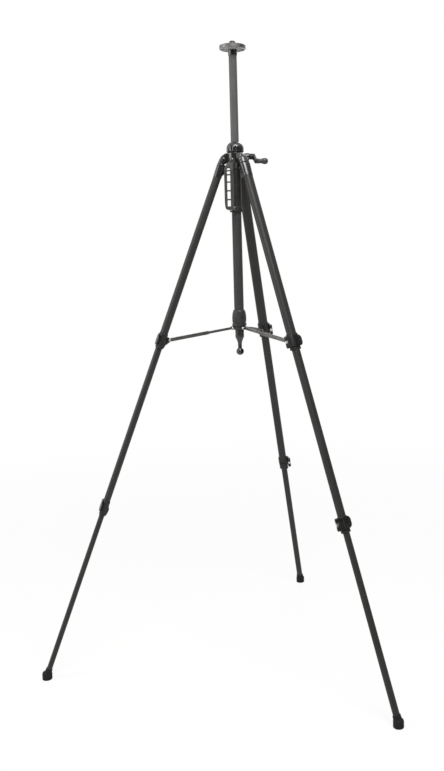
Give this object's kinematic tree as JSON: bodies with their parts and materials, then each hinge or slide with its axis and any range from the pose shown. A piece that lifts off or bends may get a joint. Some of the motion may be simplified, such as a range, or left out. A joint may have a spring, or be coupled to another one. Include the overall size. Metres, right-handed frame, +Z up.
{
  "type": "elevating tripod",
  "caption": "Light elevating tripod with a crank-raised centre column, telescopic flip-lock legs, a mid-level spreader, a carry handle and a threaded stud for a level or laser.",
  "frame": {"origin": "centre of the top plate's upper face, on the stud's axis", "axes": "+Z up along the centre column and the stud; the back leg points along +Y and the carry handle along -Y"},
  "size_m": [0.8852, 0.7698, 1.55],
  "materials": {
    "grey_tube": "dark grey anodised, satin",
    "column_grey": "mid grey anodised, satin",
    "bare_metal": "plain, fine brushed",
    "steel": "zinc plated",
    "black_gloss": "moulded, glossy",
    "black_matte": "moulded, satin",
    "lever_grey": "moulded, satin",
    "rack_white": "moulded nylon",
    "foot_rubber": "moulded, matt"
  },
  "bodies": {
    "crown": {"crown": "black_gloss", "leg_hinge_pins": "steel", "column_guide": "black_matte", "column_sleeve": "grey_tube", "carry_handle": "black_matte", "handle_screws": "steel", "ballast_hook": "black_matte", "clamp_collet": "rack_white", "shaft_bush": "rack_white"},
    "column": {"centre_column": "column_grey", "gear_rack": "rack_white", "column_end_plug": "black_matte", "plate_socket": "black_matte", "top_plate": "bare_metal", "head_stud": "steel"},
    "crank": {"pinion_shaft": "steel", "crank_arm": "black_matte"},
    "knob": {"crank_knob": "black_matte"},
    "lock_ring": {"column_lock_ring": "black_matte"},
    "hub": {"spreader_hub": "black_matte", "hub_rivets": "steel"},
    "left_upper_leg": {"left_hinge_socket": "black_gloss", "left_upper_tube": "grey_tube", "left_upper_collar": "black_matte", "left_upper_pins": "steel"},
    "left_middle_leg": {"left_middle_tube": "grey_tube", "left_lower_collar": "black_matte", "left_lower_pin": "steel"},
    "left_lower_leg": {"left_lower_tube": "grey_tube", "left_foot": "foot_rubber"},
    "left_upper_lever": {"left_upper_lever": "lever_grey"},
    "left_lower_lever": {"left_lower_lever": "lever_grey"},
    "left_fork": {"left_brace_fork": "bare_metal"},
    "left_link": {"left_brace_link": "bare_metal"},
    "right_upper_leg": {"right_hinge_socket": "black_gloss", "right_upper_tube": "grey_tube", "right_upper_collar": "black_matte", "right_upper_pins": "steel"},
    "right_middle_leg": {"right_middle_tube": "grey_tube", "right_lower_collar": "black_matte", "right_lower_pin": "steel"},
    "right_lower_leg": {"right_lower_tube": "grey_tube", "right_foot": "foot_rubber"},
    "right_upper_lever": {"right_upper_lever": "lever_grey"},
    "right_lower_lever": {"right_lower_lever": "lever_grey"},
    "right_fork": {"right_brace_fork": "bare_metal"},
    "right_link": {"right_brace_link": "bare_metal"},
    "back_upper_leg": {"back_hinge_socket": "black_gloss", "back_upper_tube": "grey_tube", "back_upper_collar": "black_matte", "back_upper_pins": "steel"},
    "back_middle_leg": {"back_middle_tube": "grey_tube", "back_lower_collar": "black_matte", "back_lower_pin": "steel"},
    "back_lower_leg": {"back_lower_tube": "grey_tube", "back_foot": "foot_rubber"},
    "back_upper_lever": {"back_upper_lever": "lever_grey"},
    "back_lower_lever": {"back_lower_lever": "lever_grey"},
    "back_fork": {"back_brace_fork": "bare_metal"},
    "back_link": {"back_brace_link": "bare_metal"}
  },
  "joints": [
    {"name": "column_lift", "type": "slide", "parent": "crown", "child": "column", "axis": [0, 0, 1], "range_m": [-0.2, 0.055]},
    {"name": "crank_turn", "type": "hinge", "parent": "crown", "child": "crank", "pos_m": [-0.00683, 0.01182, -0.271], "axis": [-0.866, -0.5, 0], "range_deg": [-2300, 640]},
    {"name": "knob_spin", "type": "hinge", "parent": "crank", "child": "knob", "pos_m": [0.05251, 0.01405, -0.28483], "axis": [0.866, 0.5, 0], "continuous": true},
    {"name": "lock_ring_turn", "type": "hinge", "parent": "crown", "child": "lock_ring", "pos_m": [0, 0, -0.25], "axis": [0, 0, 1], "range_deg": [0, 80]},
    {"name": "left_leg_fold", "type": "hinge", "parent": "crown", "child": "left_upper_leg", "pos_m": [-0.02685, -0.0155, -0.282], "axis": [0.5, -0.866, 0], "range_deg": [0, 19]},
    {"name": "left_middle_slide", "type": "slide", "parent": "left_upper_leg", "child": "left_middle_leg", "axis": [0.3033, 0.1751, 0.9367], "range_m": [0, 0.37]},
    {"name": "left_lower_slide", "type": "slide", "parent": "left_middle_leg", "child": "left_lower_leg", "axis": [0.3033, 0.1751, 0.9367], "range_m": [0, 0.375]},
    {"name": "left_upper_lever_open", "type": "hinge", "parent": "left_upper_leg", "child": "left_upper_lever", "pos_m": [-0.17848, -0.07914, -0.72118], "axis": [-0.3033, -0.1751, -0.9367], "range_deg": [0, 105]},
    {"name": "left_lower_lever_open", "type": "hinge", "parent": "left_middle_leg", "child": "left_lower_lever", "pos_m": [-0.3084, -0.15669, -1.12582], "axis": [-0.3033, -0.1751, -0.9367], "range_deg": [0, 105]},
    {"name": "left_link_turn", "type": "hinge", "parent": "hub", "child": "left_link", "pos_m": [-0.01559, -0.009, -0.7], "axis": [0.5, -0.866, 0], "range_deg": [0, 79.35]},
    {"name": "left_fork_turn", "type": "hinge", "parent": "left_upper_leg", "child": "left_fork", "pos_m": [-0.1524, -0.08799, -0.72316], "axis": [0.5, -0.866, 0], "range_deg": [0, 60.35]},
    {"name": "right_leg_fold", "type": "hinge", "parent": "crown", "child": "right_upper_leg", "pos_m": [0.02685, -0.0155, -0.282], "axis": [0.5, 0.866, 0], "range_deg": [0, 19]},
    {"name": "right_middle_slide", "type": "slide", "parent": "right_upper_leg", "child": "right_middle_leg", "axis": [-0.3033, 0.1751, 0.9367], "range_m": [0, 0.37]},
    {"name": "right_lower_slide", "type": "slide", "parent": "right_middle_leg", "child": "right_lower_leg", "axis": [-0.3033, 0.1751, 0.9367], "range_m": [0, 0.375]},
    {"name": "right_upper_lever_open", "type": "hinge", "parent": "right_upper_leg", "child": "right_upper_lever", "pos_m": [0.15778, -0.11499, -0.72118], "axis": [0.3033, -0.1751, -0.9367], "range_deg": [0, 105]},
    {"name": "right_lower_lever_open", "type": "hinge", "parent": "right_middle_leg", "child": "right_lower_lever", "pos_m": [0.2899, -0.18873, -1.12582], "axis": [0.3033, -0.1751, -0.9367], "range_deg": [0, 105]},
    {"name": "right_link_turn", "type": "hinge", "parent": "hub", "child": "right_link", "pos_m": [0.01559, -0.009, -0.7], "axis": [0.5, 0.866, 0], "range_deg": [0, 79.35]},
    {"name": "right_fork_turn", "type": "hinge", "parent": "right_upper_leg", "child": "right_fork", "pos_m": [0.1524, -0.08799, -0.72316], "axis": [0.5, 0.866, 0], "range_deg": [0, 60.35]},
    {"name": "back_leg_fold", "type": "hinge", "parent": "crown", "child": "back_upper_leg", "pos_m": [0, 0.031, -0.282], "axis": [-1, 0, 0], "range_deg": [0, 19]},
    {"name": "back_middle_slide", "type": "slide", "parent": "back_upper_leg", "child": "back_middle_leg", "axis": [0, -0.3502, 0.9367], "range_m": [0, 0.37]},
    {"name": "back_lower_slide", "type": "slide", "parent": "back_middle_leg", "child": "back_lower_leg", "axis": [0, -0.3502, 0.9367], "range_m": [0, 0.375]},
    {"name": "back_upper_lever_open", "type": "hinge", "parent": "back_upper_leg", "child": "back_upper_lever", "pos_m": [0.0207, 0.19414, -0.72118], "axis": [0, 0.3502, -0.9367], "range_deg": [0, 105]},
    {"name": "back_lower_lever_open", "type": "hinge", "parent": "back_middle_leg", "child": "back_lower_lever", "pos_m": [0.0185, 0.34543, -1.12582], "axis": [0, 0.3502, -0.9367], "range_deg": [0, 105]},
    {"name": "back_link_turn", "type": "hinge", "parent": "hub", "child": "back_link", "pos_m": [0, 0.018, -0.7], "axis": [-1, 0, 0], "range_deg": [0, 79.35]},
    {"name": "back_fork_turn", "type": "hinge", "parent": "back_upper_leg", "child": "back_fork", "pos_m": [0, 0.17598, -0.72316], "axis": [-1, 0, 0], "range_deg": [0, 60.35]},
    {"name": "hub_rise", "type": "slide", "parent": "crown", "child": "hub", "axis": [0, 0, 1], "range_m": [0, 0.11322]}
  ],
  "couplings": [
    {"joint": "crank_turn", "follows": "column_lift", "rad_per_m": 200},
    {"joint": "left_link_turn", "follows": "left_leg_fold", "ratio": 4.1759},
    {"joint": "left_fork_turn", "follows": "left_leg_fold", "ratio": 3.1759},
    {"joint": "right_leg_fold", "follows": "left_leg_fold", "ratio": 1},
    {"joint": "right_link_turn", "follows": "left_leg_fold", "ratio": 4.1759},
    {"joint": "right_fork_turn", "follows": "left_leg_fold", "ratio": 3.1759},
    {"joint": "back_leg_fold", "follows": "left_leg_fold", "ratio": 1},
    {"joint": "back_link_turn", "follows": "left_leg_fold", "ratio": 4.1759},
    {"joint": "back_fork_turn", "follows": "left_leg_fold", "ratio": 3.1759},
    {"joint": "hub_rise", "follows": "left_leg_fold", "m_per_rad": 0.34139}
  ]
}
